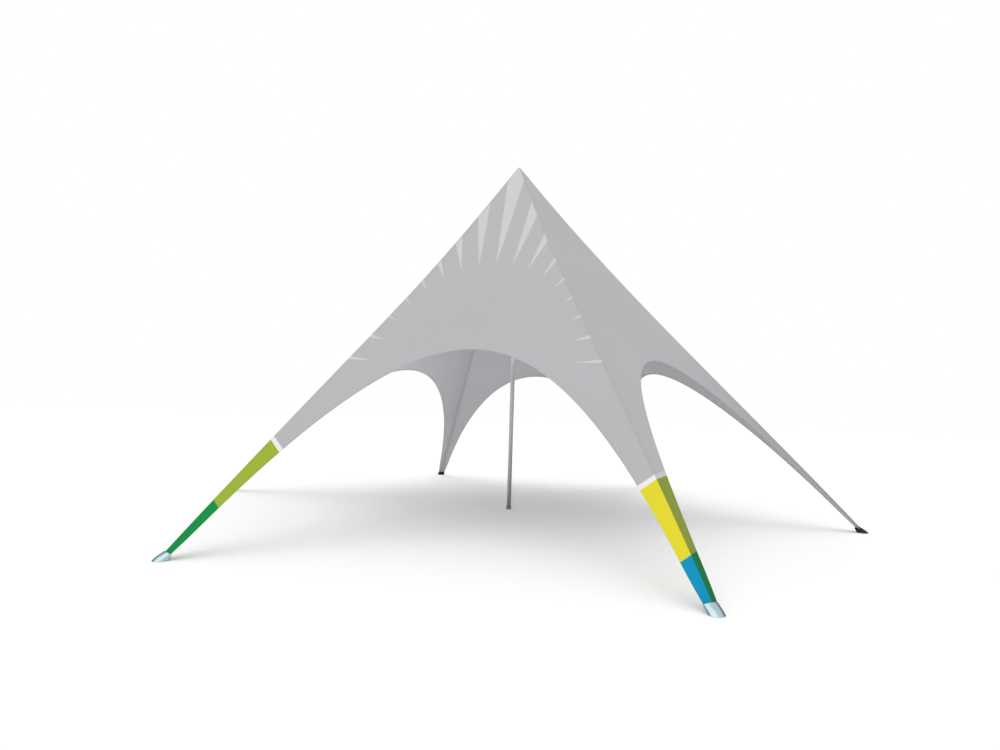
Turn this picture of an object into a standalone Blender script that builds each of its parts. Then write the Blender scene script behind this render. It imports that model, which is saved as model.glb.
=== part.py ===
"""Six-legged star marquee: a fabric star held up by one central pole, in metres with +Z up.

The origin is on the ground at the middle of the pole's foot. The front panel faces -Y, and the
legs stand every 60 degrees, so two of them lie on the X axis.
"""
import math

import bmesh
import bpy
from mathutils import Matrix, Vector

# The star's driving dimensions
LEGS = 6
FOOT_RADIUS = 5.0        # pole to the point where a ridge line meets the ground
PEAK_HEIGHT = 5.43
RIDGE_DIP = 0.130        # how far a ridge sags below a straight line from peak to foot
PEAK_ROUNDING = 0.02     # radius over which the peak is blunt
ARCH_START = 0.5757      # share of the ridge's run at which the arched hem begins, at its top
LEG_SIDE = 0.075         # width of one side of a leg at the ground, along the panel's level line

# Fabric
FABRIC = 0.008           # thickness across the cloth
CROWN_SHARE = 0.03       # share of the ridge's run covered by the crown patch
LEG_CUT = 0.806          # share of the ridge's run at which the leg sleeve is sewn on
WEBBING_SIDE = 0.025     # width of the ridge webbing on each side of the fold
WEBBING = 0.004

# Shoes
SHOE_RIM = 0.100         # distance of the rim from the ground, along the ridge line
SHOE_CUP = 0.020         # depth of the cup that takes the leg sleeve
SHOE_BORE = (0.075, 0.036)   # half width and half height of the oval cup
SHOE_WALL = 0.005
SHOE_SOLE = (0.095, 0.086)   # half length and half width of the sole
SHOE_CENTRE = 4.98       # the sole's middle lies this far from the pole
FOLD_TO_AXIS = 0.0296    # the fold of the leg lies this far above the middle of the cup

# Pole
POLE_RADIUS = 0.032
POLE_WALL = 0.003
POLE_JOINT = 2.70        # height of the joint between the two tubes
COUPLING_LENGTH = 0.24
COUPLING_WALL = 0.005
FOOT_CAP_RADIUS = 0.038
FOOT_CAP_HEIGHT = 0.050
FOOT_CAP_FLOOR = 0.008
HEAD_SKIRT = 0.10        # height of the pole head's skirt over the tube
HEAD_SKIRT_RADIUS = 0.038
HEAD_NECK = 0.03         # height of the cone between the skirt and the head

GAP = 0.0003             # clearance between pieces that touch
FIT_CHAMFER = 0.003

# Worked out from the values above
HALF_CHORD = FOOT_RADIUS * math.sin(math.pi / LEGS)
MID_RADIUS = FOOT_RADIUS * math.cos(math.pi / LEGS)
RIDGE_LENGTH = math.hypot(FOOT_RADIUS, PEAK_HEIGHT)
PANEL_FALL = math.hypot(MID_RADIUS, PEAK_HEIGHT)
CLOTH_DROP = FABRIC * PANEL_FALL / MID_RADIUS        # the cloth's thickness measured straight down
WEBBING_DROP = WEBBING * PANEL_FALL / MID_RADIUS
BLUNT = PEAK_ROUNDING / FOOT_RADIUS
HEM_RISE = (1 - ARCH_START) / (1 - LEG_SIDE / HALF_CHORD) ** 2
SKEW = FOOT_RADIUS ** 2 / (4 * RIDGE_LENGTH ** 2)    # turns a level line across a leg square to its fold
LEG_UP = Vector((-FOOT_RADIUS, 0, PEAK_HEIGHT)) / RIDGE_LENGTH
LEG_OUT = Vector((PEAK_HEIGHT, 0, FOOT_RADIUS)) / RIDGE_LENGTH
LEG_END = 1 - (SHOE_RIM - SHOE_CUP + 3 * GAP + CLOTH_DROP * LEG_UP.z) / RIDGE_LENGTH
SEAM_STEP = GAP / FOOT_RADIUS                        # clearance at a seam, as a share of the run

# Mesh density
CROWN_RINGS = 5
HEM_STEPS = 9            # columns from the middle of an arch to the leg
ROUND_SIDES = 32
UPPER_LEVELS = (CROWN_SHARE, 0.08, 0.15, 0.23, 0.32, 0.43, 0.55)
LOWER_STEPS = 4
SLEEVE_STEPS = 4

LEG_ANGLES = {
    "front_left": 240, "front_right": 300, "right": 0,
    "back_right": 60, "back_left": 120, "left": 180,
}
PANEL_ANGLES = {
    "front": 270, "front_right": 330, "back_right": 30,
    "back": 90, "back_left": 150, "front_left": 210,
}

GREY_CLOTH = ((0.50, 0.49, 0.51, 1), 0.85, 0.0)
LIME_CLOTH = ((0.36, 0.50, 0.05, 1), 0.85, 0.0)
YELLOW_CLOTH = ((0.80, 0.72, 0.03, 1), 0.85, 0.0)
GREY_WEBBING = ((0.42, 0.42, 0.43, 1), 0.9, 0.0)
SILVER_METAL = ((0.66, 0.72, 0.76, 1), 0.28, 1.0)
BLACK_PLASTIC = ((0.02, 0.02, 0.02, 1), 0.55, 0.0)
POLE_METAL = ((0.52, 0.52, 0.53, 1), 0.4, 1.0)


def ridge_height(share):
    """Height of a ridge at a share of its run from the peak (0) to the foot (1)."""
    blunted = (math.hypot(share, BLUNT) - BLUNT) / (math.hypot(1, BLUNT) - BLUNT)
    sag = RIDGE_DIP * 6.75 * share * (1 - share) ** 2
    return PEAK_HEIGHT * (1 - blunted) - sag


def hem_half_width(share):
    """Half width of the arched opening at a share of the ridge's run."""
    return HALF_CHORD * math.sqrt((share - ARCH_START) / HEM_RISE)


def heading(degrees):
    """Level unit vector pointing away from the pole."""
    return Vector((math.cos(math.radians(degrees)), math.sin(math.radians(degrees)), 0))


def panel_point(angle, sideways, share):
    """Point on a panel's outside: a distance sideways from its middle, at a share of the run."""
    point = heading(angle) * (MID_RADIUS * share) + heading(angle + 90) * sideways
    point.z = ridge_height(share)
    return point


def leg_width(share):
    """Width of one side of a leg, along the panel's level line."""
    return HALF_CHORD * share - hem_half_width(share)


def square_cut(share, across):
    """Share of the run on a cut square to the fold, at a part of the side's width (1 at the hem)."""
    return share + SKEW * across * leg_width(share) / HALF_CHORD


def side_point(angle, across, share):
    """Point on a leg: across is -1 at one hem, 0 at the fold and 1 at the other hem."""
    level = square_cut(share, abs(across))
    point = heading(angle) * (FOOT_RADIUS * level)
    point += heading(angle + math.copysign(120, across)) * (abs(across) * leg_width(level))
    point.z = ridge_height(level)
    return point


def finish(name, mesh, colour, roughness, metallic):
    """Puts a mesh in the model's collection under its own name and material."""
    material = bpy.data.materials.new(name)
    material.use_nodes = True
    shader = material.node_tree.nodes["Principled BSDF"]
    shader.inputs["Base Color"].default_value = colour
    shader.inputs["Roughness"].default_value = roughness
    shader.inputs["Metallic"].default_value = metallic
    material.diffuse_color = colour
    mesh.materials.append(material)
    piece = bpy.data.objects.new(name, mesh)
    bpy.data.collections["Star marquee"].objects.link(piece)
    return piece


def mesh_from(name, shape):
    """Turns a bmesh into a mesh whose faces point outwards."""
    shape.normal_update()
    bmesh.ops.recalc_face_normals(shape, faces=shape.faces)
    mesh = bpy.data.meshes.new(name)
    shape.to_mesh(mesh)
    shape.free()
    return mesh


def thicken_down(shape, drop):
    """Gives an open sheet its thickness, straight down."""
    grown = bmesh.ops.extrude_face_region(shape, geom=shape.faces[:])
    lower = [item for item in grown["geom"] if isinstance(item, bmesh.types.BMVert)]
    bmesh.ops.translate(shape, verts=lower, vec=(0, 0, -drop))


def cloth_sheet(name, columns, rows, place, drop, look):
    """A grid whose vertices are set by place(column, row), thickened down into a closed solid."""
    shape = bmesh.new()
    bmesh.ops.create_grid(shape, x_segments=columns, y_segments=rows, size=1)
    for vertex in shape.verts:
        column = round((vertex.co.x + 1) / 2 * columns)
        row = round((vertex.co.y + 1) / 2 * rows)
        vertex.co = place(column, row)
    thicken_down(shape, drop)
    return finish(name, mesh_from(name, shape), *look)


def panel_columns():
    """Ends of the panel's columns as (sideways, share), from the middle to the ridge."""
    cut = LEG_CUT - SEAM_STEP / 2
    corner = square_cut(cut, 1)
    ends = []
    for step in range(HEM_STEPS + 1):
        sideways = hem_half_width(corner) * step / HEM_STEPS
        ends.append((sideways, ARCH_START + HEM_RISE * (sideways / HALF_CHORD) ** 2))
    for across in (0.5, 0):
        level = square_cut(cut, across)
        ends.append((HALF_CHORD * level - across * leg_width(level), level))
    return ends


def make_panel(name, angle, look):
    """One of the six panels, from the crown patch to its arched hem and the tops of two legs."""
    ends = panel_columns()
    half = len(ends) - 1
    upper = len(UPPER_LEVELS) - 1

    def place(column, row):
        side = column - half
        end_sideways, end_share = ends[abs(side)]
        if row <= upper:
            share = UPPER_LEVELS[row] + (SEAM_STEP if row == 0 else 0)
        else:
            share = UPPER_LEVELS[-1] + (end_share - UPPER_LEVELS[-1]) * (row - upper) / LOWER_STEPS
        sideways = end_sideways / end_share * share
        if abs(side) == half:
            sideways -= GAP / 2 / math.cos(math.pi / LEGS)
        return panel_point(angle, math.copysign(sideways, side), share)

    return cloth_sheet("panel_" + name, 2 * half, upper + LOWER_STEPS, place, CLOTH_DROP, look)


def make_leg(name, angle, look):
    """A leg's sleeve: two sides folded over the ridge line, from the panels to the shoe."""
    top = LEG_CUT + SEAM_STEP / 2

    def place(column, row):
        share = top + (LEG_END - top) * row / SLEEVE_STEPS
        return side_point(angle, column / 2 - 1, share)

    return cloth_sheet("leg_" + name, 4, SLEEVE_STEPS, place, CLOTH_DROP, look)


def make_webbing(name, angle):
    """The strap sewn under a ridge, from the crown patch to the shoe."""
    lower = [UPPER_LEVELS[-1] + (LEG_CUT - UPPER_LEVELS[-1]) * step / LOWER_STEPS
             for step in range(1, LOWER_STEPS + 1)]
    sleeve = [LEG_CUT + (LEG_END - LEG_CUT) * step / SLEEVE_STEPS for step in range(1, SLEEVE_STEPS + 1)]
    shares = list(UPPER_LEVELS) + lower + sleeve
    shares[0] += WEBBING_SIDE / HALF_CHORD
    shares[-1] -= WEBBING_SIDE / RIDGE_LENGTH

    def place(column, row):
        share = shares[row]
        point = heading(angle) * (FOOT_RADIUS * share)
        point += heading(angle + 120 * (column - 1)) * (WEBBING_SIDE * abs(column - 1))
        point.z = ridge_height(share) - CLOTH_DROP - 2 * GAP
        return point

    return cloth_sheet("ridge_webbing_" + name, 2, len(shares) - 1, place, WEBBING_DROP, GREY_WEBBING)


def make_crown():
    """The six-sided patch that closes the peak."""
    run = CROWN_SHARE * FOOT_RADIUS
    shape = bmesh.new()
    bmesh.ops.create_circle(shape, cap_ends=True, cap_tris=True, segments=LEGS, radius=run)
    corner = min(shape.verts, key=lambda vertex: abs(vertex.co.length - run))
    turn = -math.atan2(corner.co.y, corner.co.x)
    bmesh.ops.rotate(shape, verts=shape.verts, cent=(0, 0, 0), matrix=Matrix.Rotation(turn, 3, "Z"))
    bmesh.ops.subdivide_edges(shape, edges=shape.edges, cuts=CROWN_RINGS - 1, use_grid_fill=True)
    for vertex in shape.verts:
        reach = max(vertex.co.dot(heading(angle)) for angle in PANEL_ANGLES.values())
        vertex.co.z = ridge_height(reach / MID_RADIUS)
    thicken_down(shape, CLOTH_DROP)
    return finish("crown", mesh_from("crown", shape), *GREY_CLOTH)


def unit_column(turn, upper, lower):
    """A round column whose rings are carried to an upper and a lower oval, each a 4x4 matrix."""
    shape = bmesh.new()
    bmesh.ops.create_cone(shape, cap_ends=True, segments=ROUND_SIDES, depth=2, radius1=1, radius2=1)
    for vertex in shape.verts:
        frame = upper if vertex.co.z > 0 else lower
        vertex.co = turn @ frame @ Vector((vertex.co.x, vertex.co.y, 0))
    return shape


def oval(middle, along, half_length, half_width):
    """Carries a unit circle to an oval about a point: its length along a direction, its width along Y."""
    normal = along.cross(Vector((0, 1, 0)))
    return Matrix((
        (along.x * half_length, 0, normal.x, middle.x),
        (along.y * half_length, half_width, normal.y, middle.y),
        (along.z * half_length, 0, normal.z, middle.z),
        (0, 0, 0, 1),
    ))


def make_shoe(name, angle, look):
    """A flared shoe from an oval rim square to the leg down to a flat sole, with a cup for the leg."""
    turn = Matrix.Rotation(math.radians(angle), 4, "Z")
    rim = Vector((FOOT_RADIUS, 0, 0)) + LEG_UP * SHOE_RIM - LEG_OUT * FOLD_TO_AXIS
    half_width, half_height = SHOE_BORE
    top = oval(rim, LEG_OUT, half_height + SHOE_WALL, half_width + SHOE_WALL)
    sole = oval(Vector((SHOE_CENTRE, 0, 0)), Vector((1, 0, 0)), *SHOE_SOLE)
    shoe = finish("shoe_" + name, mesh_from("shoe_" + name, unit_column(turn, top, sole)), *look)

    above = oval(rim + LEG_UP * SHOE_CUP, LEG_OUT, half_height, half_width)
    floor = oval(rim - LEG_UP * SHOE_CUP, LEG_OUT, half_height, half_width)
    cup = mesh_from("cup_" + name, unit_column(turn, above, floor))
    cutter = bpy.data.objects.new("cup_" + name, cup)
    bpy.data.collections["Cutters"].objects.link(cutter)
    cutter.hide_render = True
    cutter.display_type = "WIRE"
    hollow = shoe.modifiers.new("Cup", "BOOLEAN")
    hollow.operation = "DIFFERENCE"
    hollow.solver = "EXACT"
    hollow.object = cutter
    return shoe


def turned(name, profile, look, ring=False):
    """A shape turned about the pole's axis from (radius, height) points down its outer side."""
    shape = bmesh.new()
    points = [shape.verts.new((radius, 0, height)) for radius, height in profile]
    for first, second in zip(points, points[1:]):
        shape.edges.new((first, second))
    if ring:
        shape.edges.new((points[-1], points[0]))
    mesh = bpy.data.meshes.new(name)
    shape.to_mesh(mesh)
    shape.free()
    piece = finish(name, mesh, *look)
    screw = piece.modifiers.new("Turn", "SCREW")
    screw.axis = "Z"
    screw.steps = ROUND_SIDES
    screw.render_steps = ROUND_SIDES
    screw.use_merge_vertices = True
    screw.merge_threshold = 0.00005
    screw.use_smooth_shade = True
    return piece


def make_tube(name, low, high, inner, outer, look):
    """An open tube about the pole's axis."""
    profile = ((outer, high), (outer, low), (inner, low), (inner, high))
    return turned(name, profile, look, ring=True)


def make_pole_head():
    """The pointed head under the crown patch, with a skirt over the pole's upper tube."""
    levels = [CROWN_SHARE * ring / CROWN_RINGS for ring in range(3)]
    top = [(MID_RADIUS * share, ridge_height(share) - CLOTH_DROP - 2 * GAP) for share in levels]
    edge_radius, edge_height = top[-1]
    under = edge_height - HEAD_NECK / 3
    neck = under - HEAD_NECK
    bore = POLE_RADIUS + GAP
    profile = top + [
        (edge_radius, under),
        (HEAD_SKIRT_RADIUS, neck),
        (HEAD_SKIRT_RADIUS, neck - HEAD_SKIRT),
        (bore, neck - HEAD_SKIRT),
        (bore, neck),
        (0, neck),
    ]
    turned("pole_head", profile, BLACK_PLASTIC)
    return neck


def make_pole():
    """The pole from its foot cap to its head."""
    inner = POLE_RADIUS - POLE_WALL
    sleeve = POLE_RADIUS + GAP
    foot = (
        (0, FOOT_CAP_FLOOR), (sleeve, FOOT_CAP_FLOOR), (sleeve, FOOT_CAP_HEIGHT),
        (FOOT_CAP_RADIUS - FIT_CHAMFER, FOOT_CAP_HEIGHT),
        (FOOT_CAP_RADIUS, FOOT_CAP_HEIGHT - FIT_CHAMFER),
        (FOOT_CAP_RADIUS, FIT_CHAMFER), (FOOT_CAP_RADIUS - FIT_CHAMFER, 0), (0, 0),
    )
    turned("pole_foot", foot, BLACK_PLASTIC)
    head_floor = make_pole_head()
    make_tube("pole_lower_tube", FOOT_CAP_FLOOR + GAP, POLE_JOINT, inner, POLE_RADIUS, POLE_METAL)
    make_tube("pole_upper_tube", POLE_JOINT + GAP, head_floor - GAP, inner, POLE_RADIUS, POLE_METAL)
    make_tube("pole_coupling", POLE_JOINT - COUPLING_LENGTH / 2, POLE_JOINT + COUPLING_LENGTH / 2,
              sleeve, sleeve + COUPLING_WALL, POLE_METAL)


def main():
    for old in list(bpy.data.objects):
        bpy.data.objects.remove(old, do_unlink=True)
    for name in ("Star marquee", "Cutters"):
        group = bpy.data.collections.new(name)
        bpy.context.scene.collection.children.link(group)

    for name, angle in PANEL_ANGLES.items():
        make_panel(name, angle, GREY_CLOTH)
    leg_looks = {"front_left": LIME_CLOTH, "front_right": YELLOW_CLOTH}
    shoe_looks = {"front_left": SILVER_METAL, "front_right": SILVER_METAL}
    for name, angle in LEG_ANGLES.items():
        make_leg(name, angle, leg_looks.get(name, GREY_CLOTH))
        make_webbing(name, angle)
        make_shoe(name, angle, shoe_looks.get(name, BLACK_PLASTIC))
    make_crown()
    make_pole()


main()
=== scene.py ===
import math
from collections import namedtuple

import bmesh
import bpy
from bpy.props import FloatProperty, FloatVectorProperty, IntProperty, PointerProperty
from mathutils import Matrix, Vector


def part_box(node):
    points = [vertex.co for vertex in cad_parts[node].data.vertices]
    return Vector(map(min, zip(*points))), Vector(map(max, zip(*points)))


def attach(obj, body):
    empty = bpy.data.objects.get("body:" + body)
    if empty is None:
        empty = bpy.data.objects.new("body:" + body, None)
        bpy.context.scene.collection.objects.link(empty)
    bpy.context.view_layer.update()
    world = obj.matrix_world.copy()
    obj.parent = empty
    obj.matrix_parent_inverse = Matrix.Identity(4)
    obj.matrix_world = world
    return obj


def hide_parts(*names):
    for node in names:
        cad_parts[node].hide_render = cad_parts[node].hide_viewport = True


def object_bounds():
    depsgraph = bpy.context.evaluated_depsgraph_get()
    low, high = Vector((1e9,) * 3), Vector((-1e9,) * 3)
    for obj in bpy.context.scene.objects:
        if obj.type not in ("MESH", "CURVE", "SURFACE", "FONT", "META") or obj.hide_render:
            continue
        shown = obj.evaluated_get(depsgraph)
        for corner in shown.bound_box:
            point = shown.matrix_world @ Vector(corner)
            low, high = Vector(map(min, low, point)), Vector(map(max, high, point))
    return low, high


bl_info = {
    "name": "Star Marquee",
    "version": (1, 0, 0),
    "blender": (4, 5, 0),
    "location": "3D View > Sidebar > Marquee",
    "description": "Makes a six-legged star marquee: stretched canopy, printed legs, shoes and centre pole",
    "category": "Object",
}

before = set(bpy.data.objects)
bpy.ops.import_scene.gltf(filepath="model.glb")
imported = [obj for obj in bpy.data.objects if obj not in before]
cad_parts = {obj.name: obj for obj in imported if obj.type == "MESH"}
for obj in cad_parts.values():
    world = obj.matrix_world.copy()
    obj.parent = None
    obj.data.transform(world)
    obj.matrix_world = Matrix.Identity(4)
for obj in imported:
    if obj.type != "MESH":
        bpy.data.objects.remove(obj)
FRAME_LOW, FRAME_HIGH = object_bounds()
SHOE_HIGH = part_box("shoe_right")[1]
POLE_LOW, POLE_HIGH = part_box("pole_lower_tube")
COUPLING_LOW, COUPLING_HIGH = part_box("pole_coupling")
FOOT_LOW, FOOT_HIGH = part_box("pole_foot")
HEAD_LOW, HEAD_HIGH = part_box("pole_head")

LEGS = 6
LEG_ANGLES = {
    "front_left": 240, "front_right": 300, "right": 0,
    "back_right": 60, "back_left": 120, "left": 180,
}
PANEL_ANGLES = {
    "front": 270, "front_right": 330, "back_right": 30,
    "back": 90, "back_left": 150, "front_left": 210,
}
PRINTED_LEGS = ("front_left", "front_right")
SHOE_TOE = 0.075         # the sole reaches this far past the point where the ridge meets the ground
IMAGE_ASPECT = 1000 / 750

Ring = namedtuple("Ring", "centre tilt length width")


# Sizes and colours that a user would change

def metres(name, description, default, **limits):
    """A length in metres, with its name, description and default."""
    return FloatProperty(name=name, description=description, default=default,
                         unit="LENGTH", subtype="DISTANCE", precision=4, **limits)


def colour(name, description, red, green, blue):
    """A colour given as the 0 to 255 values it has on a screen."""
    linear = [level_to_linear(level / 255) for level in (red, green, blue)]
    return FloatVectorProperty(name=name, description=description, default=(*linear, 1.0),
                               subtype="COLOR", size=4, min=0.0, max=1.0)


def level_to_linear(level):
    """Turns a screen level into the linear value that shaders use."""
    return level / 12.92 if level <= 0.04045 else ((level + 0.055) / 1.055) ** 2.4


class MarqueeShape(bpy.types.PropertyGroup):
    foot_radius: metres("Foot radius", "From the pole to where a ridge meets the ground",
                        SHOE_HIGH.x - SHOE_TOE, min=1.0)
    peak_height: metres("Peak height", "Height of the peak above the ground", FRAME_HIGH.z, min=1.0)
    ridge_dip: metres("Ridge dip", "How far a ridge sags below a straight line", 0.130, min=0.0)
    peak_rounding: metres("Peak rounding", "Radius over which the peak is blunt", 0.02, min=0.001)
    leg_side: metres("Leg side", "Width of one side of a leg at the ground, if nothing drew it in", 0.089, min=0.02)
    leg_gather: metres("Leg gather", "How much narrower the shoe draws one side of a leg in", 0.022, min=0.0)
    arch_start: FloatProperty(name="Arch start", description="Share of the run at which the arched hem begins",
                              default=0.5757, min=0.2, max=0.9, subtype="FACTOR")
    crown_share: FloatProperty(name="Crown", description="Share of the run that the crown patch covers",
                               default=0.03, min=0.01, max=0.2, subtype="FACTOR")
    seam_cloth: metres("Seam thickness", "Thickness of the cloth where it is folded and sewn", 0.008, min=0.001)
    cloth_share: FloatProperty(name="Single cloth", description="Single cloth's thickness as a share of a seam's",
                               default=0.35, min=0.1, max=1.0, subtype="FACTOR")
    seam_rise: metres("Seam rise", "How far hems and ridge seams stand proud", 0.0012, min=0.0)
    hem_band: metres("Hem band", "Width of the folded hem", 0.025, min=0.005)
    ridge_band: metres("Ridge band", "Width of the ridge seam on each side of the fold", 0.028, min=0.005)
    belly: metres("Belly", "How far a panel's middle is drawn in between its two ridges", 0.014, min=0.0)
    fold_depth: metres("Fold depth", "Depth of the slack folds where a leg leaves its panels", 0.004, min=0.0)
    hem_columns: IntProperty(name="Hem columns", description="Columns of faces along half an arch", default=36, min=8)
    rows: IntProperty(name="Rows", description="Rows of faces from the crown to the hem", default=26, min=6)


class MarqueePrint(bpy.types.PropertyGroup):
    left_top: metres("Left top", "Top of the front left leg's print, up the fold from the ground", 1.616)
    left_join: metres("Left join", "Where the front left leg's two colours meet", 0.726)
    right_top: metres("Right top", "Top of the front right leg's print, up the fold from the ground", 1.349)
    right_join: metres("Right join", "Where the front right leg's two colours meet", 0.518)
    band: metres("Pale band", "Height of the pale band above the colours", 0.054)
    front_slant: FloatProperty(name="Front slant", description="Drop of a colour edge across a leg's front side",
                               default=0.65)
    outer_slant: FloatProperty(name="Outer slant", description="Drop of a colour edge across a leg's outer side",
                               default=-0.12)
    rays_pitch: FloatProperty(name="Ray pitch", description="Angle from one pale ray to the next",
                              default=math.radians(11.25), subtype="ANGLE")
    rays_spread: FloatProperty(name="Ray spread", description="Half a ray's width per metre of its length",
                               default=0.105)
    rays_squeeze: FloatProperty(name="Ray squeeze", description="How much narrower than high the fan of rays is",
                                default=1.6)
    rays_centre: metres("Ray centre", "Distance below the arch's top of the point the rays fan out from", 0.20)
    rays_start: metres("Ray start", "Distance of the rays' tips above that point", 1.90)


class MarqueeColours(bpy.types.PropertyGroup):
    cloth: colour("Cloth", "Grey of the canopy", 176, 176, 179)
    rays: colour("Rays", "Pale rays of the front panel", 197, 195, 198)
    white: colour("White band", "Band above the colours", 226, 226, 229)
    # Painted shade: the pale band darkened, as on a leg's outer side turned from the light.
    white_in_painted_shade: colour("White band, outer", "Band on a leg's outer side", 193, 193, 196)
    lime: colour("Lime", "Upper colour of the front left leg", 149, 172, 50)
    green: colour("Green", "Lower colour of the front left leg", 3, 137, 65)
    yellow: colour("Yellow", "Upper colour of the front right leg", 219, 207, 45)
    blue: colour("Blue", "Lower colour of the front right leg", 3, 142, 183)
    # Painted shade: the lime and green darkened, as on the legs' outer sides turned from the light.
    lime_in_painted_shade: colour("Olive", "Upper colour of the outer sides", 129, 145, 53)
    green_in_painted_shade: colour("Dark green", "Lower colour of the outer sides", 4, 112, 58)
    webbing: colour("Webbing", "Straps under the ridges", 168, 168, 170)
    shoe_metal: colour("Shoe metal", "Bright shoes", 180, 203, 210)
    shoe_black: colour("Shoe black", "Black shoes", 12, 14, 16)
    pole: colour("Pole", "Pole tubes", 250, 250, 251)
    pole_end: colour("Pole ends", "Foot and head of the pole", 104, 104, 106)
    steel: colour("Steel", "Coupling screws", 150, 152, 155)
    floor: colour("Floor", "Studio floor", 254, 254, 254)


# Materials

class Value:
    """An output socket of a finish. Arithmetic on it adds Math nodes."""

    def __init__(self, finish, socket):
        self.finish = finish
        self.socket = socket

    def maths(self, operation, *values):
        return self.finish.node("ShaderNodeMath", {"operation": operation}, dict(enumerate(values)))

    def __add__(self, other):
        return self.maths("ADD", self, other)

    def __radd__(self, other):
        return self.maths("ADD", other, self)

    def __sub__(self, other):
        return self.maths("SUBTRACT", self, other)

    def __rsub__(self, other):
        return self.maths("SUBTRACT", other, self)

    def __mul__(self, other):
        return self.maths("MULTIPLY", self, other)

    def __rmul__(self, other):
        return self.maths("MULTIPLY", other, self)

    def __truediv__(self, other):
        return self.maths("DIVIDE", self, other)

    def __mod__(self, other):
        return self.maths("FLOORED_MODULO", self, other)

    def __abs__(self):
        return self.maths("ABSOLUTE", self)

    def __lt__(self, other):
        return self.maths("LESS_THAN", self, other)

    def __gt__(self, other):
        return self.maths("GREATER_THAN", self, other)

    def near(self, centre, reach):
        """1 where the value lies within a reach of the centre, else 0."""
        return self.maths("COMPARE", self, centre, reach)

    def clamped(self, low, high):
        """0 below low, 1 above high, and an even rise between them."""
        inputs = {"Value": self, "From Min": low, "From Max": high}
        return self.finish.node("ShaderNodeMapRange", {"clamp": True}, inputs, output="Result")

    def power(self, exponent):
        return self.maths("POWER", self, exponent)

    def root(self):
        return self.maths("SQRT", self)

    def sine(self):
        return self.maths("SINE", self)

    def cosine(self):
        return self.maths("COSINE", self)


class Nodes:
    """A node tree, built node by node."""

    def __init__(self, tree):
        self.tree = tree

    def fill(self, socket, value):
        """Links a value to a socket, or sets the socket to it."""
        if isinstance(value, Value):
            self.tree.links.new(value.socket, socket)
        else:
            socket.default_value = value

    def node(self, kind, settings=None, inputs=None, output=0):
        """Adds a node: its settings first, then the values or links of its sockets."""
        made = self.tree.nodes.new(kind)
        for name, setting in (settings or {}).items():
            setattr(made, name, setting)
        for name, value in (inputs or {}).items():
            self.fill(made.inputs[name], value)
        return Value(self, made.outputs[output])

    def split(self, vector):
        """The three numbers of a vector."""
        return [self.node("ShaderNodeSeparateXYZ", {}, {"Vector": vector}, output) for output in "XYZ"]


class Finish(Nodes):
    """A procedural material."""

    def __init__(self, name):
        self.material = bpy.data.materials.new(name)
        self.material.use_nodes = True
        super().__init__(self.material.node_tree)
        self.shader = self.tree.nodes["Principled BSDF"]

    def attribute(self, name):
        """The three numbers of a vector attribute of the piece."""
        return self.split(self.node("ShaderNodeAttribute", {"attribute_name": name}, output="Vector"))

    def place(self):
        """A point's own coordinates."""
        return self.node("ShaderNodeTexCoord", output="Object")

    def noise(self, scale, detail=3.0, stretch=(1, 1, 1)):
        """Cloudy values about 0.5. The scale is in patches a metre, and stretch squeezes it along each axis."""
        spot = self.node("ShaderNodeMapping", {}, {"Vector": self.place(), "Scale": stretch}, output="Vector")
        return self.node("ShaderNodeTexNoise", {}, {"Vector": spot, "Scale": scale, "Detail": detail})

    def mix(self, share, first, second):
        """Blends two colours."""
        inputs = {0: share, 6: first, 7: second}
        return self.node("ShaderNodeMix", {"data_type": "RGBA"}, inputs, output=2)

    def shaded(self, base, change):
        """Makes a colour darker or lighter by a varying share, 0 for no change."""
        if not isinstance(base, Value):
            base = tuple(base)[:3]
        inputs = {"Vector": base, "Scale": 1 + change}
        return self.node("ShaderNodeVectorMath", {"operation": "SCALE"}, inputs, output="Vector")

    def bump(self, height, distance, strength=1.0):
        """A normal shaped by a height of 0 to 1 over a distance in metres."""
        inputs = {"Height": height, "Distance": distance, "Strength": strength}
        return self.node("ShaderNodeBump", {}, inputs, output="Normal")

    def close(self, **values):
        """Sets or links the shader's sockets, named with _ for a space, and returns the material."""
        for name, value in values.items():
            self.fill(self.shader.inputs[name.replace("_", " ").title().replace("Ior", "IOR")], value)
        return self.material


THREAD = 0.003           # spacing of the weave's threads
STITCH = 0.007           # from one stitch to the next
STITCH_LENGTH = 0.005
STITCH_WIDTH = 0.0016


def stitching(finish, distance, along, lines):
    """1 on dashed lines of thread at the given distances from an edge, else 0."""
    dash = (along % STITCH).near(STITCH / 2, STITCH_LENGTH / 2)
    rows = sum(distance.near(line, STITCH_WIDTH / 2) for line in lines)
    return rows * dash


def sunburst(finish, sideways, fall):
    """1 on pale rays that fan out evenly over a panel from behind its arch, else 0."""
    shape, print_ = bpy.context.scene.marquee_shape, bpy.context.scene.marquee_print
    star = Star(shape)
    centre = shape.arch_start * star.panel_fall + print_.rays_centre
    sideways = sideways * print_.rays_squeeze
    up = centre - fall
    reach = (sideways * sideways + up * up).root()
    angle = sideways.maths("ARCTAN2", sideways, up)
    pitch = print_.rays_pitch
    offset = (angle / pitch + 0.5) % 1 - 0.5
    aside = reach * (abs(offset) * pitch).sine()
    ahead = reach * (abs(offset) * pitch).cosine() - print_.rays_start
    return (aside < ahead * print_.rays_spread) * (angle < math.pi / 2)


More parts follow.
